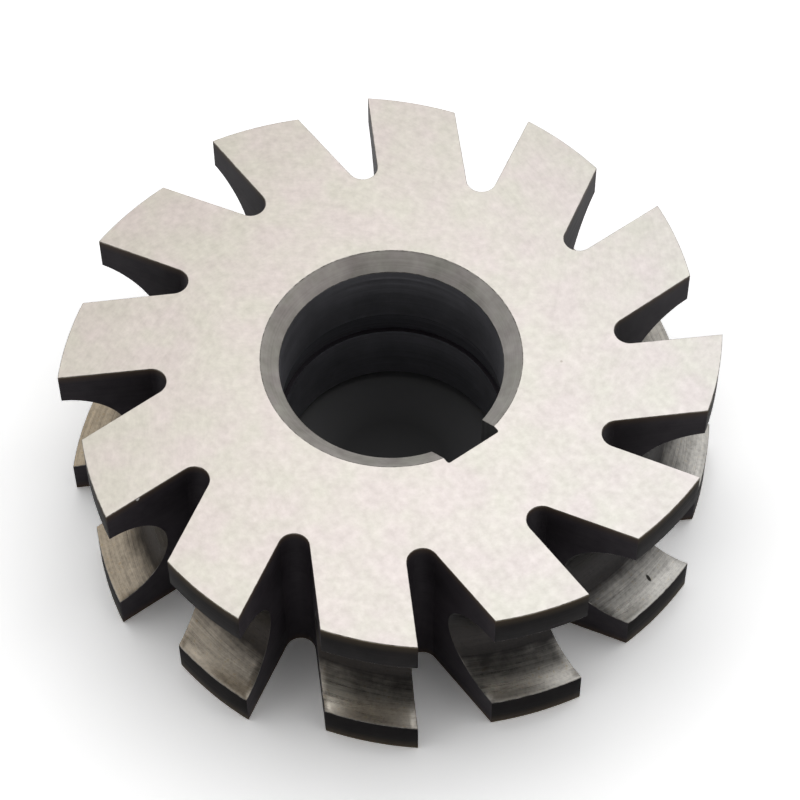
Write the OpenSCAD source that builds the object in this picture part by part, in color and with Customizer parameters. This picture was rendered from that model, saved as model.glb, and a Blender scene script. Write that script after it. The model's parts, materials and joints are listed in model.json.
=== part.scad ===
// Form-relieved concave milling cutter, in millimetres.
// One piece of high-speed steel: a keyed arbor bore, gullets milled across the rim, and a
// half-round profile round the tooth tips that cuts a bead or a round edge on the work.
// The origin is on the bore's axis at the bottom face, +Z runs along the bore, and the keyway
// is on +X. The cutting faces look anticlockwise, seen from above.

/* [Blank] */
// Outer diameter over the cutting corners
outer_dia = 65; // [60:0.5:72]
// Width of the cutter along its bore
width = 20; // [16:0.5:28]
// Number of teeth, evenly spaced
teeth = 12; // [8:1:13]

/* [Concave profile] */
// Radius of the half-round profile, whose centre is on the outer diameter
profile_r = 6; // [3:0.25:7]
// Angle by which the tooth tip and its profile fall away behind the cutting face
relief_angle = 8.5; // [4:0.5:12]

/* [Chip gullets] */
// Radial depth of a gullet, from the outer diameter to its bottom
gullet_depth = 10.5; // [9:0.5:13]
// Radius of the rounded bottom of a gullet
gullet_root_r = 1.5; // [0.8:0.1:2.2]
// Angle between a cutting face and the back of the tooth in front of it
gullet_angle = 30.5; // [20:0.5:34]
// Rake angle, by which a cutting face leans back from the radius at its cutting corner
rake_angle = 2.2; // [0:0.1:5]

/* [Arbor bore] */
// Diameter of the ground bore
bore_dia = 22; // [16:0.5:27]
// Width of the turned chamfer round the bore, seen on either face
chamfer_width = 1.8; // [0.5:0.1:3]
// Depth of the chamfer along the bore
chamfer_depth = 1.2; // [0.4:0.1:3]
// Radial depth of the relief turned in the middle of the bore
recess_depth = 0.5; // [0.2:0.1:1.5]
// Length of that relief along the bore
recess_length = 3; // [1:0.5:8]

/* [Keyway] */
// Width of the keyway
key_width = 6; // [4:0.25:8]
// Depth of the keyway, from the bore's wall to the keyway's floor
key_depth = 2.2; // [1.2:0.1:4]
// Radius in the two corners of the keyway's floor
key_corner_r = 0.2; // [0.2:0.1:1]

/* [Hidden] */
$fn = 96;

outer_r = outer_dia / 2;
bore_r = bore_dia / 2;
pitch = 360 / teeth;
over = 1;

// The relieved tip is an arc round a centre of its own, set off square to the radius at the
// cutting corner, so that the arc passes through that corner at the relief angle.
relief_r = outer_r / cos(relief_angle);
relief_offset = outer_r * tan(relief_angle);

// The cutting face of the tooth at +X is parallel to X, on the line y = face_y.
face_y = -outer_r * sin(rake_angle);
gullet_bottom_r = outer_r - gullet_depth;
root_y = face_y + gullet_root_r;
root_x = sqrt(pow(gullet_bottom_r + gullet_root_r, 2) - pow(root_y, 2));

// The hub reaches into the gullets' round bottoms, and each tooth's blank starts inside it.
// Neighbouring blanks stay apart by a gap that lies inside a gullet.
hub_r = gullet_bottom_r + gullet_root_r / 2;
tooth_root_r = (hub_r + bore_r) / 2;
tooth_gap_angle = 2;

key_floor = bore_r + key_depth;

// Solid disc that carries the teeth, left long at both ends for facing
module hub() {
    translate([0, 0, -over]) cylinder(h = width + 2 * over, r = hub_r);
}

// Disc with the half-round profile turned into its rim, also left long
module profiled_disc() {
    rotate_extrude()
        difference() {
            translate([0, -over]) square([relief_r, width + 2 * over]);
            translate([relief_r, width / 2]) circle(r = profile_r);
        }
}

// Room for one tooth: a stretch of the rim that ends inside the gullets on both sides of it
module tooth_sector() {
    gullet_middle = atan2(root_y, root_x);
    rotate([0, 0, gullet_middle - pitch + tooth_gap_angle / 2])
        rotate_extrude(angle = pitch - tooth_gap_angle)
            translate([tooth_root_r, -over])
                square([outer_r + over - tooth_root_r, width + 2 * over]);
}

// Tooth whose tip and profile fall away behind the cutting corner
module relieved_tooth() {
    intersection() {
        tooth_sector();
        rotate([0, 0, -rake_angle]) translate([0, relief_offset, 0]) profiled_disc();
    }
}

// Hub and teeth, ground to width on both faces
module ground_blank() {
    intersection() {
        cylinder(h = width, r = outer_r + over);
        union() {
            hub();
            for (i = [0 : teeth - 1]) rotate([0, 0, i * pitch]) relieved_tooth();
        }
    }
}

// Gullet cutter's path: a flat cutting face, a round bottom and a sloping back
module chip_gullet() {
    reach = outer_r + 2 * over - root_x;
    back_x = root_x - gullet_root_r * sin(gullet_angle);
    back_y = root_y + gullet_root_r * cos(gullet_angle);
    translate([0, 0, -over]) linear_extrude(height = width + 2 * over) {
        translate([root_x, root_y]) circle(r = gullet_root_r);
        polygon([
            [root_x, root_y],
            [root_x, face_y],
            [root_x + reach, face_y],
            [back_x + reach * cos(gullet_angle), back_y + reach * sin(gullet_angle)],
            [back_x, back_y]
        ]);
    }
}

// Ground bore with a turned relief in its middle and a chamfer at each end
module arbor_bore() {
    recess_r = bore_r + recess_depth;
    chamfer_r = bore_r + chamfer_width;
    recess_low = (width - recess_length) / 2;
    recess_high = (width + recess_length) / 2;
    rotate_extrude()
        polygon([
            [0, -over],
            [chamfer_r, -over],
            [chamfer_r, 0],
            [bore_r, chamfer_depth],
            [bore_r, recess_low],
            [recess_r, recess_low],
            [recess_r, recess_high],
            [bore_r, recess_high],
            [bore_r, width - chamfer_depth],
            [chamfer_r, width],
            [chamfer_r, width + over],
            [0, width + over]
        ]);
}

// Through keyway with rounded floor corners
module keyway() {
    translate([0, 0, -over]) linear_extrude(height = width + 2 * over) {
        translate([0, -key_width / 2]) square([key_floor - key_corner_r, key_width]);
        translate([0, -key_width / 2 + key_corner_r])
            square([key_floor, key_width - 2 * key_corner_r]);
        for (side = [-1, 1])
            translate([key_floor - key_corner_r, side * (key_width / 2 - key_corner_r)])
                circle(r = key_corner_r, $fn = 32);
    }
}

// The whole tool, cut from one blank
module cutter() {
    color([0.84, 0.82, 0.79])
    difference() {
        ground_blank();
        for (i = [0 : teeth - 1]) rotate([0, 0, i * pitch]) chip_gullet();
        arbor_bore();
        keyway();
    }
}

cutter();
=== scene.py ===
import json
import math

import bmesh
import bpy
from mathutils import Matrix, Quaternion, Vector


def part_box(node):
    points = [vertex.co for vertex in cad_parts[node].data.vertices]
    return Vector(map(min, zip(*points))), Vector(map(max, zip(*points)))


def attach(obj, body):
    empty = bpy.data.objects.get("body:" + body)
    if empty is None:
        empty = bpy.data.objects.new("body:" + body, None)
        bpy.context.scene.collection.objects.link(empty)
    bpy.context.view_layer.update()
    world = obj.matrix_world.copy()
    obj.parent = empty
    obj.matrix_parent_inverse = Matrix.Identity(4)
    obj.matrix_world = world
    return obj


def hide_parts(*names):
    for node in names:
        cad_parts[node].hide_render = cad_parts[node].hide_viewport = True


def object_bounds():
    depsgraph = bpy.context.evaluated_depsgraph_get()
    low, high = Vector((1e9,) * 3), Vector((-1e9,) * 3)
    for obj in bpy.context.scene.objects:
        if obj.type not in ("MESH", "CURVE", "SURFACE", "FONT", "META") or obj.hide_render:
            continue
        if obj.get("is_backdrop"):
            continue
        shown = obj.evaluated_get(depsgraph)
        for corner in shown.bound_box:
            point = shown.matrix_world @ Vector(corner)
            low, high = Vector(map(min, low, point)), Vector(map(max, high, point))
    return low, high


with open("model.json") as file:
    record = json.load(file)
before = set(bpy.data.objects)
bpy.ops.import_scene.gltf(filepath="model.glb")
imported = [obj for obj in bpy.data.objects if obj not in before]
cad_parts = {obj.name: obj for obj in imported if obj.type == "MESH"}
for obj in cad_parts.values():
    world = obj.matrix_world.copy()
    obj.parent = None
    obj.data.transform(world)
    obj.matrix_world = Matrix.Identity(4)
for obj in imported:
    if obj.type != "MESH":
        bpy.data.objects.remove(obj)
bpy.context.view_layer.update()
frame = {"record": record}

# Cutter
# The whole tool is one piece of high-speed steel: a disc with twelve relieved teeth, a keyed arbor
# bore and two faces ground flat. It is turned and milled soft, hardened black, and then ground.

MM = 0.001

low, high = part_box("cutter")
bottom, top = low.z, high.z
middle = (bottom + top) / 2

bm = bmesh.new()
lay = bm.loops.layers.uv.new("lay")
# The finishes, numbered in the order in which the mesh gets their materials.
GROUND, CHAMFER, BORE, RECESS, KEYWAY, GULLET, LAND, PROFILE, EDGE = range(9)

# Teeth
# Twelve teeth are left between twelve gullets. Each tip, and the half-round profile turned into it,
# runs on an arc round a centre of its own, so that both fall away behind the cutting face.

TEETH = 12
OUTER_R = 32.5 * MM
PROFILE_R = 6 * MM
RELIEF = math.radians(8.5)
RAKE = math.radians(2.2)
GULLET_DEPTH = 10.5 * MM
ROOT_R = 1.5 * MM
GULLET_ANGLE = math.radians(30.5)
HUB_R = 17 * MM
FACE_GRIND = math.radians(54)
RIM_STEPS = 12
PROFILE_STEPS = 40
ROOT_STEPS = 12
HUB_STEPS = 6
TOUCHING = 0.001 * MM
AXIS = Vector((0, 0))
ALONG_X = Vector((1, 0))
UP = Vector((0, 0, 1))
# A swept wall's lowest path comes first, and its highest last.
LOWEST, HIGHEST = 0, -1


def turned(point, angle):
    """A point of the plan, turned round the bore's axis."""
    return Matrix.Rotation(angle, 2) @ point


def bearing(point):
    """The direction of a point of the plan, as an angle from +X."""
    return math.atan2(point.y, point.x)


def line_to_circle(start, direction, centre, radius):
    """Where a line of the plan leaves a circle."""
    ahead = (centre - start).dot(direction)
    aside = (centre - start).length_squared - ahead**2
    return start + direction * (ahead + math.sqrt(radius**2 - aside))


def swept(rows, centre, steps, finishes):
    """Sweeps each (start, angle, height) round a centre and joins it to the next one's path.

    The wall between two paths gets its finish, and its lay runs along the sweep. Each path's first
    and last corners are returned.
    """
    ends, paths, place = [], [], {}
    across = 0
    previous = None
    for start, angle, height in rows:
        first = bm.verts.new((*start, height))
        known = set(bm.edges)
        spun = bmesh.ops.spin(
            bm, geom=[first], cent=(*centre, height), axis=UP, angle=angle, steps=steps
        )
        last = spun["geom_last"][0]
        path = [edge for edge in bm.edges if edge not in known]
        radius = (start - centre).length
        if previous:
            across += math.hypot(radius - previous[0], height - previous[1])
        previous = (radius, height)
        for vert in {vert for edge in path for vert in edge.verts}:
            out = turned(vert.co.xy - centre, -bearing(start - centre) - angle / 2)
            place[vert] = Vector((radius * bearing(out), across)) / MM
        paths.append(path)
        ends.append((first, last))
    for path, next_path, finish in zip(paths, paths[1:], finishes):
        for face in bmesh.ops.bridge_loops(bm, edges=path + next_path)["faces"]:
            face.material_index = finish
            face.smooth = True
            for loop in face.loops:
                loop[lay].uv = place[loop.vert]
    return ends


def open_edges(point, normal):
    """The edges on a plane that still want a face."""
    return [
        edge
        for edge in bm.edges
        if len(edge.link_faces) < 2
        and all(abs((vert.co - point).dot(normal)) < TOUCHING for vert in edge.verts)
    ]


def flat_faces(point, normal, finish, along, around_hole=False):
    """Closes the open edges on a plane with flat faces, whose lay runs along a direction."""
    point, normal, along = Vector(point), Vector(normal), Vector(along)
    known = set(bm.faces)
    edges = open_edges(point, normal)
    if around_hole:
        bmesh.ops.triangle_fill(bm, edges=edges, use_beauty=True, use_dissolve=False)
    else:
        bmesh.ops.edgeloop_fill(bm, edges=edges)
    for face in [face for face in bm.faces if face not in known]:
        face.material_index = finish
        for loop in face.loops:
            co = loop.vert.co
            loop[lay].uv = Vector((co.dot(along), co.dot(normal.cross(along)))) / MM


# One tooth is made, whose cutting face runs along X, with the bottom of the gullet before it, and
# is then copied round the axis.
pitch = math.tau / TEETH
relief_r = OUTER_R / math.cos(RELIEF)
tip_centre = turned(Vector((0, OUTER_R * math.tan(RELIEF))), -RAKE)
face_y = -OUTER_R * math.sin(RAKE)
root_y = face_y + ROOT_R
root_x = math.sqrt((OUTER_R - GULLET_DEPTH + ROOT_R) ** 2 - root_y**2)
root = Vector((root_x, root_y))
face_start = Vector((root_x, face_y))
back_along = turned(ALONG_X, GULLET_ANGLE)
back_start = root + turned(back_along, math.pi / 2) * ROOT_R
# The back of this tooth is the far wall of the gullet behind it.
behind_start = turned(back_start, -pitch)
behind_along = turned(back_along, -pitch)

section = [(relief_r, bottom)]
for i in range(PROFILE_STEPS + 1):
    angle = math.pi * i / PROFILE_STEPS
    section.append((relief_r - PROFILE_R * math.sin(angle), middle - PROFILE_R * math.cos(angle)))
section.append((relief_r, top))
rows = []
for radius, height in section:
    start = line_to_circle(face_start, ALONG_X, tip_centre, radius)
    end = line_to_circle(behind_start, behind_along, tip_centre, radius)
    rows.append((start, bearing(end - tip_centre) - bearing(start - tip_centre), height))
rim = swept(rows, tip_centre, RIM_STEPS, [LAND] + [PROFILE] * PROFILE_STEPS + [LAND])

root_rows = [(back_start, math.pi - GULLET_ANGLE, height) for height in (bottom, top)]
root_wall = swept(root_rows, root, ROOT_STEPS, [GULLET])
hub_start = back_start.normalized() * HUB_R
behind = [bm.verts.new((*behind_start, height)) for height in (bottom, top)]
bm.edges.new(behind)
for side, height in ((LOWEST, bottom), (HIGHEST, top)):
    [(hub_first, hub_last)] = swept([(hub_start, -pitch, height)], AXIS, HUB_STEPS, [])
    root_first, root_last = root_wall[side]
    rim_first, rim_last = rim[side]
    bm.edges.new((hub_first, root_first))
    bm.edges.new((root_last, rim_first))
    bm.edges.new((rim_last, behind[side]))
    bm.edges.new((behind[side], hub_last))
grind_along = (*turned(ALONG_X, FACE_GRIND), 0)
for height, normal in ((bottom, -UP), (top, UP)):
    flat_faces((0, 0, height), normal, GROUND, grind_along)
flat_faces((*face_start, 0), (0, 1, 0), GULLET, (*ALONG_X, 0))
flat_faces((*behind_start, 0), (*turned(behind_along, -math.pi / 2), 0), GULLET, (*behind_along, 0))
bmesh.ops.spin(
    bm, geom=bm.verts[:] + bm.edges[:] + bm.faces[:], cent=(0, 0, 0), axis=UP,
    angle=math.tau - pitch, steps=TEETH - 1, use_duplicate=True,
)
bmesh.ops.remove_doubles(bm, verts=bm.verts, dist=TOUCHING)

# Arbor bore and keyway
# The bore is ground to fit the arbor, with a turned chamfer at each end and a shallow relief in its
# middle. The keyway is broached along it, with all but sharp corners in its floor.

CHAMFER_W = 1.8 * MM
CHAMFER_D = 1.2 * MM
RECESS_D = 0.5 * MM
RECESS_L = 3 * MM
KEY_W = 6 * MM
KEY_D = 2.2 * MM
KEY_CORNER_R = 0.2 * MM
BORE_STEPS = 144
CORNER_STEPS = 6

mounts = {mount["name"]: mount for mount in frame["record"]["mounts"]}
bore_r = mounts["arbor_bore"]["dims"]["r_mm"] * MM
chamfer_r = bore_r + CHAMFER_W
recess_r = bore_r + RECESS_D
half_key = KEY_W / 2

rows = []
for radius, height in (
    (chamfer_r, bottom),
    (bore_r, bottom + CHAMFER_D),
    (bore_r, middle - RECESS_L / 2),
    (recess_r, middle - RECESS_L / 2),
    (recess_r, middle + RECESS_L / 2),
    (bore_r, middle + RECESS_L / 2),
    (bore_r, top - CHAMFER_D),
    (chamfer_r, top),
):
    beside_key = math.asin(half_key / radius)
    start = Vector((radius * math.cos(beside_key), half_key))
    rows.append((start, math.tau - 2 * beside_key, height))
bore_finishes = [CHAMFER, BORE, GULLET, RECESS, GULLET, BORE, CHAMFER]
bore = swept(rows, AXIS, BORE_STEPS, bore_finishes)

key_floor = bore_r + KEY_D
quarter = -math.pi / 2
corner = Vector((key_floor - KEY_CORNER_R, half_key - KEY_CORNER_R))
near_rows = [(corner + Vector((0, KEY_CORNER_R)), quarter, height) for height in (bottom, top)]
near_corner = swept(near_rows, corner, CORNER_STEPS, [KEYWAY])
corner.y = -corner.y
far_rows = [(corner + Vector((KEY_CORNER_R, 0)), quarter, height) for height in (bottom, top)]
far_corner = swept(far_rows, corner, CORNER_STEPS, [KEYWAY])
for side in (LOWEST, HIGHEST):
    bore_first, bore_last = bore[side]
    near_first, near_last = near_corner[side]
    far_first, far_last = far_corner[side]
    bm.edges.new((bore_first, near_first))
    bm.edges.new((near_last, far_first))
    bm.edges.new((far_last, bore_last))
flat_faces((0, half_key, 0), (0, -1, 0), KEYWAY, UP)
flat_faces((0, -half_key, 0), (0, 1, 0), KEYWAY, UP)
flat_faces((key_floor, 0, 0), (-1, 0, 0), KEYWAY, UP)
for height, normal in ((bottom, -UP), (top, UP)):
    flat_faces((0, 0, height), normal, GROUND, grind_along, around_hole=True)

# Edges
# The grinding leaves keen edges, which are only just broken by stoning and handling. They shine round
# the ground profile, the ground faces and the chamfers.

EDGE_BREAK = 0.05 * MM
SHARP = math.radians(25)

bmesh.ops.recalc_face_normals(bm, faces=bm.faces)
keen = [edge for edge in bm.edges if edge.is_convex and edge.calc_face_angle() > SHARP]
broken = bmesh.ops.bevel(
    bm, geom=keen, offset=EDGE_BREAK, offset_type="OFFSET", segments=2, profile=0.5,
    affect="EDGES", clamp_overlap=False, material=-1, loop_slide=True,
)
half_width = (top - bottom) / 2
for face in broken["faces"]:
    centre = face.calc_center_median()
    off_middle = abs(centre.z - middle)
    if centre.xy.length < key_floor:
        shines = off_middle > half_width - CHAMFER_D - EDGE_BREAK
    else:
        shines = off_middle < PROFILE_R + EDGE_BREAK or off_middle > half_width - EDGE_BREAK
    if shines:
        face.material_index = EDGE
for edge in bm.edges:
    edge.smooth = edge.calc_face_angle() < SHARP
mesh = bpy.data.meshes.new("concave_cutter")
bm.to_mesh(mesh)
bm.free()
cutter = bpy.data.objects.new("concave_cutter", mesh)
bpy.context.scene.collection.objects.link(cutter)
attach(cutter, "root")
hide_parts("cutter")

# Finishes
# The two faces are surface ground bright, the chamfers are turned, and the profile is ground along
# the cut, with painted shade where it is deepest. The gullets and the lands keep the hardening's
# black. The bore is dull metal, painted darker as shade down the bore and in its relief, and the
# keyway is dull, dark metal.

RISING, FALLING = (0.0, 1.0), (1.0, 0.0)
WHITE = (1, 1, 1)
# The part of 0 to 1 that a noise really fills.
NOISE_RANGE = (0.3, 0.7)


def add(tree, kind, inputs=None, **settings):
    """A node with its settings and its inputs, each a value or another node's output."""
    made = tree.nodes.new("ShaderNode" + kind)
    for name, value in settings.items():
        setattr(made, name, value)
    for name, value in (inputs or {}).items():
        if isinstance(value, bpy.types.NodeSocket):
            tree.links.new(value, made.inputs[name])
        else:
            made.inputs[name].default_value = value
    return made


def result_of(tree, kind, inputs, **settings):
    """The result of a new node whose settings leave one output in use."""
    made = add(tree, kind, inputs, **settings)
    return next(socket for socket in made.outputs if socket.enabled)


def maths(tree, operation, *values):
    """The result of an operation on values."""
    return result_of(tree, "Math", dict(enumerate(values)), operation=operation)


def vector_maths(tree, operation, *vectors):
    """The result of an operation on vectors."""
    return result_of(tree, "VectorMath", dict(enumerate(vectors)), operation=operation)


def spread(tree, value, source=RISING, target=RISING, soft=False):
    """A value that runs through the target from end to end as it runs through the source."""
    limits = {
        "From Min": source[0], "From Max": source[1],
        "To Min": target[0], "To Max": target[1],
    }
    kind = "SMOOTHSTEP" if soft else "LINEAR"
    return result_of(tree, "MapRange", {"Value": value, **limits}, interpolation_type=kind)


def average(tree, first, second, share):
    """Two values mixed, with the second's share."""
    return result_of(tree, "Mix", {"Factor": share, "A": first, "B": second})


def two_colours(tree, mask, first, second):
    """First where the mask is 0, second where it is 1, as colours or outputs."""
    inputs = {"Factor": mask}
    for name, colour in (("A", first), ("B", second)):
        inputs[name] = colour if isinstance(colour, bpy.types.NodeSocket) else (*colour, 1)
    return result_of(tree, "Mix", inputs, data_type="RGBA")


def times(tree, colour, other):
    """Two colours multiplied."""
    inputs = {"Factor": 1.0, "A": colour, "B": other}
    return result_of(tree, "Mix", inputs, data_type="RGBA", blend_type="MULTIPLY")


def on_piece(tree):
    """The place in the piece's own space, in metres."""
    return add(tree, "TexCoord").outputs["Object"]


def on_piece_mm(tree):
    """The same place, in millimetres."""
    return vector_maths(tree, "MULTIPLY", on_piece(tree), (1 / MM,) * 3)


def on_lay(tree):
    """The place along the lay and across it, in millimetres, which the piece's UV map holds."""
    return add(tree, "UVMap", uv_map="lay").outputs["UV"]


def effect(name, inputs, outputs):
    """An empty node group, with the sockets that it is given and the sockets of its results."""
    tree = bpy.data.node_groups.new(name, "ShaderNodeTree")
    for socket, value in inputs.items():
        kind = "Float" if isinstance(value, float) else "Vector"
        tree.interface.new_socket(socket, in_out="INPUT", socket_type="NodeSocket" + kind)
        tree.interface.items_tree[-1].default_value = value
    for socket, kind in outputs.items():
        tree.interface.new_socket(socket, in_out="OUTPUT", socket_type="NodeSocket" + kind)
    return tree, tree.nodes.new("NodeGroupInput").outputs, tree.nodes.new("NodeGroupOutput").inputs


# Fine scratches that follow the lay.
scratches, given, result = effect(
    "grinding_lines", {"Lines per mm": 6.0, "Length": 8.0}, {"Lines": "Float"}
)
lay_place = add(scratches, "SeparateXYZ", {"Vector": on_lay(scratches)}).outputs
along = maths(scratches, "DIVIDE", lay_place["X"], given["Length"])
across = maths(scratches, "MULTIPLY", lay_place["Y"], given["Lines per mm"])
stretched = result_of(scratches, "CombineXYZ", {"X": along, "Y": across})
streaks = add(
    scratches, "TexNoise", {"Vector": stretched, "Scale": 1.0, "Detail": 4.0, "Roughness": 0.6}
)
scratches.links.new(spread(scratches, streaks.outputs["Fac"], source=NOISE_RANGE), result["Lines"])

# Cloudy stains of one size, some green-yellow and some pinkish, such as oil and fingers leave. The
# tint has a noise of its own, cut from a fourth dimension, so that it doesn't follow the clouds.
TINT_CUT = 7.0
TINT_TURNS = (0.36, 0.64)
TINT_COLOURS = ((0.972, 0.99, 0.948), (1.0, 0.967, 0.985))
stains, given, result = effect("stains", {"Per mm": 0.2}, {"Cloud": "Float", "Tint": "Color"})
where = {"Vector": on_piece_mm(stains), "Scale": given["Per mm"]}
cloud = add(stains, "TexNoise", {**where, "Detail": 3.0, "Roughness": 0.6})
hue = add(
    stains, "TexNoise", {**where, "W": TINT_CUT, "Detail": 2.0, "Roughness": 0.5}, noise_dimensions="4D"
)
tint = add(stains, "ValToRGB", {"Fac": hue.outputs["Fac"]})
for element, position, colour in zip(tint.color_ramp.elements, TINT_TURNS, TINT_COLOURS):
    element.position = position
    element.color = (*colour, 1)
stains.links.new(spread(stains, cloud.outputs["Fac"], source=NOISE_RANGE), result["Cloud"])
stains.links.new(tint.outputs["Color"], result["Tint"])

# Small dark pits, scattered thinly over the lay. One cell in twenty has one.
PIT_CORE = 0.6
CELLS_WITHOUT = 0.95
pits, given, result = effect("pits", {"Per mm": 0.3, "Radius": 0.12}, {"Pit": "Float"})
cells = add(
    pits, "TexVoronoi", {"Vector": on_lay(pits), "Scale": given["Per mm"]}, voronoi_dimensions="2D"
)
off_mm = maths(pits, "DIVIDE", cells.outputs["Distance"], given["Per mm"])
of_pit = maths(pits, "DIVIDE", off_mm, given["Radius"])
in_pit = spread(pits, of_pit, source=(PIT_CORE, 1.0), target=FALLING)
chance = add(pits, "SeparateColor", {"Color": cells.outputs["Color"]}).outputs["Red"]
chosen = maths(pits, "GREATER_THAN", chance, CELLS_WITHOUT)
pits.links.new(maths(pits, "MULTIPLY", in_pit, chosen), result["Pit"])

# One nick or knock, or a painted glint, as an ellipsoid with its centre and its half sizes in
# millimetres, that fades from its core to its outside.
knock_and_glint, given, result = effect(
    "knock_and_glint", {"Centre": (0.0, 0.0, 0.0), "Half sizes": (1.0, 1.0, 1.0), "Core": 0.7}, {"Inside": "Float"}
)
off_centre = vector_maths(knock_and_glint, "SUBTRACT", on_piece_mm(knock_and_glint), given["Centre"])
of_size = vector_maths(knock_and_glint, "DIVIDE", off_centre, given["Half sizes"])
reach = vector_maths(knock_and_glint, "LENGTH", of_size)
knock_and_glint.links.new(spread(knock_and_glint, reach, source=(given["Core"], 1.0), target=FALLING), result["Inside"])

# How far a spot lies from the middle of the width: as a band beside the ground faces that fades over
# its width in millimetres, and as a share of the profile's radius.
level, given, result = effect("level", {"Width": 0.7}, {"Band": "Float", "Of radius": "Float"})
height = add(level, "SeparateXYZ", {"Vector": on_piece(level)}).outputs["Z"]
height_off = maths(level, "ABSOLUTE", maths(level, "ADD", height, -middle))
below_face = maths(level, "SUBTRACT", half_width, height_off)
below_mm = maths(level, "DIVIDE", below_face, MM)
band = spread(level, below_mm, source=(0.0, given["Width"]), target=FALLING, soft=True)
level.links.new(band, result["Band"])
level.links.new(maths(level, "DIVIDE", height_off, PROFILE_R), result["Of radius"])

# A painted warm light, which yellows the steel towards one side.
WARM_LIGHT_YELLOW = (1.0, 0.62, 0.14)
WARM_LIT_SIDE = math.radians(210)
warm_light_side, given, result = effect("warm_light_side", {"Depth": 0.1}, {"Tint": "Color"})
to_warm_lit = (*turned(ALONG_X, WARM_LIT_SIDE), 0)
to_side = vector_maths(warm_light_side, "DOT_PRODUCT", on_piece(warm_light_side), to_warm_lit)
warm_lit = spread(warm_light_side, to_side, source=(-OUTER_R, OUTER_R))
warmth = maths(warm_light_side, "MULTIPLY", warm_lit, given["Depth"])
warm_light_side.links.new(two_colours(warm_light_side, warmth, WHITE, WARM_LIGHT_YELLOW), result["Tint"])


def placed(tree, group, **values):
    """The results of a node group in a material, with its own values."""
    made = tree.nodes.new("ShaderNodeGroup")
    made.node_tree = group
    for name, value in values.items():
        made.inputs[name.replace("_", " ")].default_value = value
    return made.outputs


def steel(name, metallic, specular=0.5):
    """The cutter's next material, as its node tree and its shader's inputs."""
    material = bpy.data.materials.new(name)
    material.use_nodes = True
    mesh.materials.append(material)
    shader = material.node_tree.nodes["Principled BSDF"].inputs
    shader["Metallic"].default_value = metallic
    shader["Specular IOR Level"].default_value = specular
    return material.node_tree, shader


def rough(tree, shader, value, ends):
    """Lets the roughness run from end to end as a value runs from 0 to 1."""
    tree.links.new(spread(tree, value, target=ends), shader["Roughness"])


def bumps(tree, shader, height, depth):
    """Lets a height from 0 to 1 stand a depth in millimetres proud."""
    bump = add(tree, "Bump", {"Strength": 1.0, "Distance": depth * MM, "Height": height})
    tree.links.new(bump.outputs["Normal"], shader["Normal"])


# Surface-ground faces
FACE_DARK = (0.54, 0.515, 0.49)
FACE_LIGHT = (0.745, 0.716, 0.69)
FACE_PIT = (0.46, 0.42, 0.38)
tree, shader = steel("ground_face", metallic=1.0)
lines = placed(tree, scratches, Lines_per_mm=3.0, Length=1.2)["Lines"]
stain = placed(tree, stains, Per_mm=0.25)
mottle = placed(tree, stains, Per_mm=1.2)["Cloud"]
pitted = placed(tree, pits, Per_mm=0.3, Radius=0.16)["Pit"]
cloudy = average(tree, mottle, lines, share=0.35)
cloudy = average(tree, cloudy, stain["Cloud"], share=0.2)
plain = two_colours(tree, cloudy, FACE_DARK, FACE_LIGHT)
plain = times(tree, plain, stain["Tint"])
# Painted warm light towards one side.
plain = times(tree, plain, placed(tree, warm_light_side, Depth=0.1)["Tint"])
tree.links.new(two_colours(tree, pitted, plain, FACE_PIT), shader["Base Color"])
rough(tree, shader, lines, ends=(0.34, 0.42))
bumps(tree, shader, lines, depth=0.0008)

# Turned chamfers
CHAMFER_DARK = (0.23, 0.219, 0.206)
CHAMFER_LIGHT = (0.45, 0.437, 0.420)
tree, shader = steel("turned_chamfer", metallic=0.2)
lines = placed(tree, scratches, Lines_per_mm=5.0, Length=30.0)["Lines"]
stain = placed(tree, stains, Per_mm=0.4)
cloudy = average(tree, stain["Cloud"], lines, share=0.35)
plain = two_colours(tree, cloudy, CHAMFER_DARK, CHAMFER_LIGHT)
# Painted warm light towards one side.
plain = times(tree, plain, placed(tree, warm_light_side, Depth=0.1)["Tint"])
tree.links.new(times(tree, plain, stain["Tint"]), shader["Base Color"])
rough(tree, shader, lines, ends=(0.55, 0.68))
bumps(tree, shader, lines, depth=0.002)

# Bore, dull metal painted a little darker than the ground faces as shade down the bore
BORE_DARK = (0.33, 0.33, 0.355)
BORE_LIGHT = (0.54, 0.54, 0.58)
tree, shader = steel("bore_wall", metallic=1.0)
lines = placed(tree, scratches, Lines_per_mm=4.0, Length=20.0)["Lines"]
stain = placed(tree, stains, Per_mm=0.3)
cloudy = average(tree, stain["Cloud"], lines, share=0.5)
tree.links.new(two_colours(tree, cloudy, BORE_DARK, BORE_LIGHT), shader["Base Color"])
rough(tree, shader, lines, ends=(0.4, 0.55))
bumps(tree, shader, lines, depth=0.002)

# Relief in the bore, painted darker than the bore wall as shade in the recess
RECESS_DARK = (0.20, 0.20, 0.22)
RECESS_LIGHT = (0.34, 0.34, 0.37)
tree, shader = steel("recess_painted_shade", metallic=1.0)
lines = placed(tree, scratches, Lines_per_mm=4.0, Length=20.0)["Lines"]
tree.links.new(two_colours(tree, lines, RECESS_DARK, RECESS_LIGHT), shader["Base Color"])
rough(tree, shader, lines, ends=(0.5, 0.65))
bumps(tree, shader, lines, depth=0.002)

# Keyway
KEYWAY_DARK = (0.17, 0.17, 0.174)
KEYWAY_LIGHT = (0.30, 0.297, 0.293)
tree, shader = steel("broached_keyway", metallic=1.0)
lines = placed(tree, scratches, Lines_per_mm=5.0, Length=15.0)["Lines"]
tree.links.new(two_colours(tree, lines, KEYWAY_DARK, KEYWAY_LIGHT), shader["Base Color"])
rough(tree, shader, lines, ends=(0.4, 0.55))
bumps(tree, shader, lines, depth=0.003)

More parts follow.
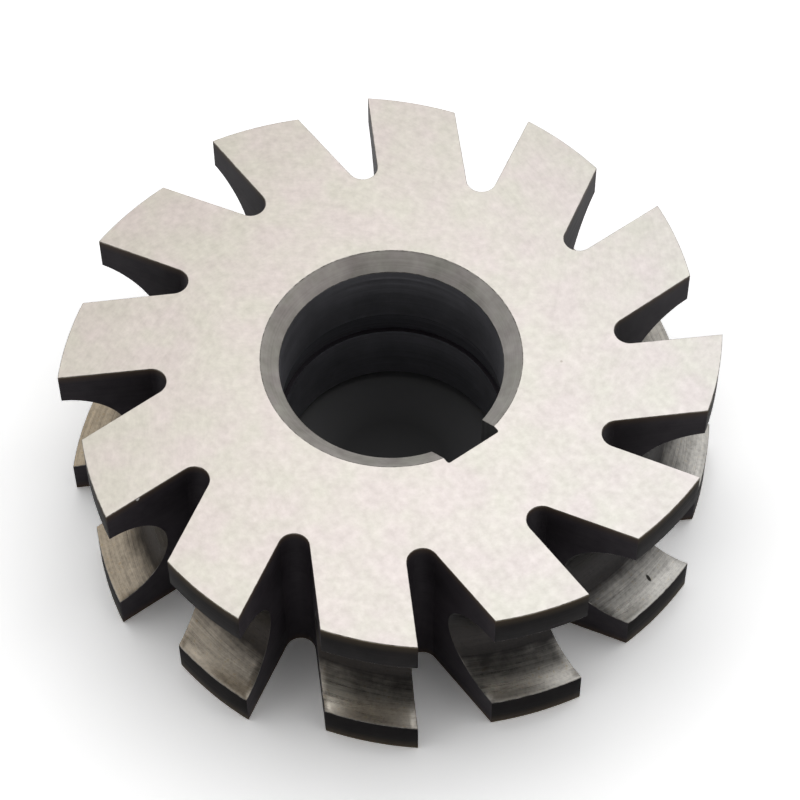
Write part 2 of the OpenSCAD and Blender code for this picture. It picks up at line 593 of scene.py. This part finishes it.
# Gullets and cutting faces, black in their middle, brown beside the ground faces, and lighter on
# their very rims.
GULLET_DARK = (0.022, 0.019, 0.023)
GULLET_LIGHT = (0.046, 0.040, 0.045)
GULLET_BROWN = (0.060, 0.043, 0.034)
GULLET_RIM = (0.16, 0.125, 0.09)
EDGE_KNOCK = {"Centre": (-1.25, -28.91, 19.9), "Half_sizes": (0.3, 0.22, 0.35)}
KNOCKED_BRIGHT = (0.75, 0.73, 0.70)
tree, shader = steel("black_gullet", metallic=0.0, specular=0.05)
lines = placed(tree, scratches, Lines_per_mm=3.0, Length=10.0)["Lines"]
stain = placed(tree, stains, Per_mm=0.5)
band = placed(tree, level, Width=1.3)["Band"]
rim_band = placed(tree, level, Width=0.3)["Band"]
knocked = placed(tree, knock_and_glint, **EDGE_KNOCK)["Inside"]
cloudy = average(tree, stain["Cloud"], lines, share=0.5)
black = two_colours(tree, cloudy, GULLET_DARK, GULLET_LIGHT)
browned = two_colours(tree, band, black, GULLET_BROWN)
rimmed = two_colours(tree, rim_band, browned, GULLET_RIM)
tree.links.new(two_colours(tree, knocked, rimmed, KNOCKED_BRIGHT), shader["Base Color"])
rough(tree, shader, lines, ends=(0.45, 0.6))
bumps(tree, shader, lines, depth=0.002)

# Outer lands
LAND_DARK = (0.004, 0.0035, 0.004)
LAND_LIGHT = (0.014, 0.012, 0.012)
LAND_BROWN = (0.052, 0.040, 0.028)
LAND_RIM = (0.17, 0.135, 0.09)
tree, shader = steel("black_land", metallic=0.0, specular=0.04)
lines = placed(tree, scratches, Lines_per_mm=4.0, Length=10.0)["Lines"]
stain = placed(tree, stains, Per_mm=0.4)
band = placed(tree, level, Width=1.6)["Band"]
rim_band = placed(tree, level, Width=0.35)["Band"]
cloudy = average(tree, stain["Cloud"], lines, share=0.4)
black = two_colours(tree, cloudy, LAND_DARK, LAND_LIGHT)
browned = two_colours(tree, band, black, LAND_BROWN)
tree.links.new(two_colours(tree, rim_band, browned, LAND_RIM), shader["Base Color"])
rough(tree, shader, lines, ends=(0.5, 0.65))
bumps(tree, shader, lines, depth=0.002)

# Half-round profile, bright at its lips, with painted shade in its depth, tarnish in its lighter
# spots and a painted glint on one lip. The painted shade ends at a share of the profile's radius,
# which the stains and the lines make uneven.
# The depth's colours are painted shade; the lip's are the ground steel.
DEEP_SHADE_DARK = (0.018, 0.0175, 0.018)
DEEP_SHADE_LIGHT = (0.036, 0.034, 0.034)
LIP_DARK = (0.19, 0.185, 0.176)
LIP_LIGHT = (0.61, 0.595, 0.563)
GLINT_BRIGHT = (0.95, 0.95, 0.9)
TARNISH_BROWN = (0.62, 0.50, 0.36)
TARNISH_OLIVE = (0.60, 0.56, 0.42)
NICK_DARK = (0.03, 0.028, 0.026)
SHADE_TO_LIP = (0.74, 1.1)
UNEVEN_BY = 0.14
TARNISH_FROM = 0.7
TARNISH_MOST = 0.6
PROFILE_NICK = {"Centre": (27.88, 10.82, 4.36), "Half_sizes": (0.46, 0.2, 0.5)}
# A painted glint: a soft patch on one lip, where the lines shine bright, fading out from its centre.
PROFILE_GLINT = {"Centre": (19.9, -22.0, 4.3), "Half_sizes": (2.6, 2.6, 1.3), "Core": 0.0}
tree, shader = steel("ground_profile", metallic=1.0)
lines = placed(tree, scratches, Lines_per_mm=3.4, Length=6.0)["Lines"]
fine_lines = placed(tree, scratches, Lines_per_mm=7.0, Length=5.0)["Lines"]
stain = placed(tree, stains, Per_mm=0.35)
spots = placed(tree, stains, Per_mm=2.5)["Cloud"]
nick = placed(tree, knock_and_glint, **PROFILE_NICK)["Inside"]
glint = placed(tree, knock_and_glint, **PROFILE_GLINT)["Inside"]
both_lines = average(tree, lines, fine_lines, share=0.4)
unevenness = average(tree, stain["Cloud"], both_lines, share=0.35)
of_radius = maths(tree, "MULTIPLY_ADD", unevenness, UNEVEN_BY, placed(tree, level)["Of radius"])
towards_lip = spread(tree, of_radius, source=SHADE_TO_LIP, soft=True)
cloudy = average(tree, both_lines, spots, share=0.42)
# Painted shade in the depth, ground steel at the lips.
deep_shade = two_colours(tree, cloudy, DEEP_SHADE_DARK, DEEP_SHADE_LIGHT)
lip = two_colours(tree, cloudy, LIP_DARK, LIP_LIGHT)
plain = two_colours(tree, towards_lip, deep_shade, lip)
# Painted glint on one lip.
plain = two_colours(tree, glint, plain, two_colours(tree, both_lines, lip, GLINT_BRIGHT))
# Painted warm light towards one side.
plain = times(tree, plain, placed(tree, warm_light_side, Depth=0.4)["Tint"])
tarnished = spread(tree, spots, source=(TARNISH_FROM, 1.0), target=(0.0, TARNISH_MOST))
tarnish = two_colours(tree, stain["Cloud"], TARNISH_BROWN, TARNISH_OLIVE)
plain = two_colours(tree, tarnished, plain, times(tree, plain, tarnish))
tree.links.new(two_colours(tree, nick, plain, NICK_DARK), shader["Base Color"])
rough(tree, shader, lines, ends=(0.26, 0.33))
bumps(tree, shader, both_lines, depth=0.004)

# Broken edges, bright in spots beside the ground faces and the lips, and painted dark down the
# profile with the profile's painted shade.
EDGE_DARK = (0.04, 0.036, 0.032)
EDGE_LIGHT = (0.42, 0.40, 0.37)
EDGE_DEEP_SHADE = (0.05, 0.046, 0.042)
EDGE_SHADE_TO_WORN = (0.55, 0.95)
tree, shader = steel("bright_edge", metallic=1.0)
stain = placed(tree, stains, Per_mm=1.5)["Cloud"]
# Down the profile's depth the edge takes painted shade; nearer the lips it is worn bright in spots.
worn_out_of_shade = spread(tree, placed(tree, level)["Of radius"], source=EDGE_SHADE_TO_WORN, soft=True)
spotted = two_colours(tree, stain, EDGE_DARK, EDGE_LIGHT)
tree.links.new(two_colours(tree, worn_out_of_shade, EDGE_DEEP_SHADE, spotted), shader["Base Color"])
rough(tree, shader, stain, ends=(0.45, 0.35))

# Floor, light and camera
# A plain pale floor, with a painted shadow where it is seen down the bore, and the photograph's view
# on to the top face. The light is soft all round, with a soft box above the cutter and behind it, and
# less of it comes from the camera's side.

FLOOR_SIDE = 4.0
FLOOR_PALE = (0.8,) * 3
FLOOR_WHITE = (1.75,) * 3
FLOOR_SHADOW_IN_BORE = (0.07,) * 3
FLOOR_SHADOW_BY_WALL = (0.2,) * 3
IN_PLAN = (1, 1, 0)
CAMERA_AZIMUTH = math.radians(53.81)
CAMERA_ELEVATION = math.radians(56.25)
CAMERA_AXIS = (0, 0, 1)
CAMERA_ROLL = math.radians(-0.505)
CAMERA_DISTANCE = 301.82 * MM
CAMERA_AIM = Vector((-0.756, 1.546, 10.0)) * MM
CAMERA_LENS = 135.18
CAMERA_SENSOR = 36.0
CAMERA_NEAR = 0.01
CAMERA_FAR = 10.0
LIGHT_ROUND = 0.85
LIGHT_BY_CAMERA = 0.08
DIM_ELEVATION = math.radians(62)
DIM_WIDE = math.radians(49)
DIM_NARROW = math.radians(26)
SOFT_BOX_SIDE = 160 * MM
SOFT_BOX_OFF = 180 * MM
SOFT_BOX_ELEVATION = math.radians(74)
SOFT_BOX_TO_RIGHT = math.radians(30)
SOFT_BOX_WATTS = 0.064


def from_direction(azimuth, elevation):
    """The direction of something seen from the cutter, its azimuth counted from -Y towards +X."""
    return Vector((
        math.sin(azimuth) * math.cos(elevation),
        -math.cos(azimuth) * math.cos(elevation),
        math.sin(elevation),
    ))


floor_bm = bmesh.new()
bmesh.ops.create_grid(floor_bm, x_segments=1, y_segments=1, size=FLOOR_SIDE / 2)
floor_mesh = bpy.data.meshes.new("floor")
floor_bm.to_mesh(floor_mesh)
floor_bm.free()
floor_mesh.transform(Matrix.Translation((0, 0, bottom)))
floor = bpy.data.objects.new("floor", floor_mesh)
bpy.context.scene.collection.objects.link(floor)
floor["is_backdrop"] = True
floor_material = bpy.data.materials.new("pale_floor")
floor_material.use_nodes = True
floor_mesh.materials.append(floor_material)
tree = floor_material.node_tree
tree.nodes.remove(tree.nodes["Principled BSDF"])
ray = add(tree, "LightPath").outputs
seen = maths(tree, "ADD", ray["Is Camera Ray"], ray["Is Glossy Ray"])
seen = maths(tree, "ADD", seen, ray["Is Transmission Ray"])
pale = two_colours(tree, seen, FLOOR_PALE, FLOOR_WHITE)
# Down the bore the floor gets a painted shadow, darkest round the axis and lighter by the bore's wall.
off_axis = vector_maths(tree, "LENGTH", vector_maths(tree, "MULTIPLY", on_piece(tree), IN_PLAN))
by_wall = spread(tree, off_axis, source=(bore_r / 2, chamfer_r))
bore_shadow = two_colours(tree, by_wall, FLOOR_SHADOW_IN_BORE, FLOOR_SHADOW_BY_WALL)
out_of_bore = spread(tree, off_axis, source=(chamfer_r, HUB_R))
diffuse = result_of(tree, "BsdfDiffuse", {"Color": two_colours(tree, out_of_bore, bore_shadow, pale)})
tree.links.new(diffuse, tree.nodes["Material Output"].inputs["Surface"])

world = bpy.data.worlds.new("soft_studio")
bpy.context.scene.world = world
world.use_nodes = True
sky = world.node_tree
background = sky.nodes["Background"].inputs
looking = add(sky, "TexCoord").outputs["Generated"]
dim_from = from_direction(CAMERA_AZIMUTH, DIM_ELEVATION)
towards = vector_maths(sky, "DOT_PRODUCT", looking, dim_from)
dimming = (math.cos(DIM_WIDE), math.cos(DIM_NARROW))
strength = spread(sky, towards, source=dimming, target=(LIGHT_ROUND, LIGHT_BY_CAMERA), soft=True)
sky.links.new(strength, background["Strength"])
background["Color"].default_value = (*WHITE, 1)

soft_box_data = bpy.data.lights.new("soft_box", "AREA")
soft_box_data.size = SOFT_BOX_SIDE
soft_box_data.energy = SOFT_BOX_WATTS
soft_box = bpy.data.objects.new("soft_box", soft_box_data)
bpy.context.scene.collection.objects.link(soft_box)
soft_box_from = from_direction(CAMERA_AZIMUTH + math.pi - SOFT_BOX_TO_RIGHT, SOFT_BOX_ELEVATION)
soft_box.location = soft_box_from * SOFT_BOX_OFF
soft_box.rotation_mode = "QUATERNION"
soft_box.rotation_quaternion = (-soft_box_from).to_track_quat("-Z", "Y")
soft_box.visible_camera = False

camera_data = bpy.data.cameras.new("camera")
camera_data.lens = CAMERA_LENS
camera_data.sensor_width = CAMERA_SENSOR
camera_data.clip_start = CAMERA_NEAR
camera_data.clip_end = CAMERA_FAR
camera = bpy.data.objects.new("camera", camera_data)
bpy.context.scene.collection.objects.link(camera)
camera_from = from_direction(CAMERA_AZIMUTH, CAMERA_ELEVATION)
camera.location = CAMERA_AIM + camera_from * CAMERA_DISTANCE
camera.rotation_mode = "QUATERNION"
level_view = (-camera_from).to_track_quat("-Z", "Y")
camera.rotation_quaternion = level_view @ Quaternion(CAMERA_AXIS, CAMERA_ROLL)
bpy.context.scene.camera = camera
bpy.context.scene.view_settings.view_transform = "Standard"

low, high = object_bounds()
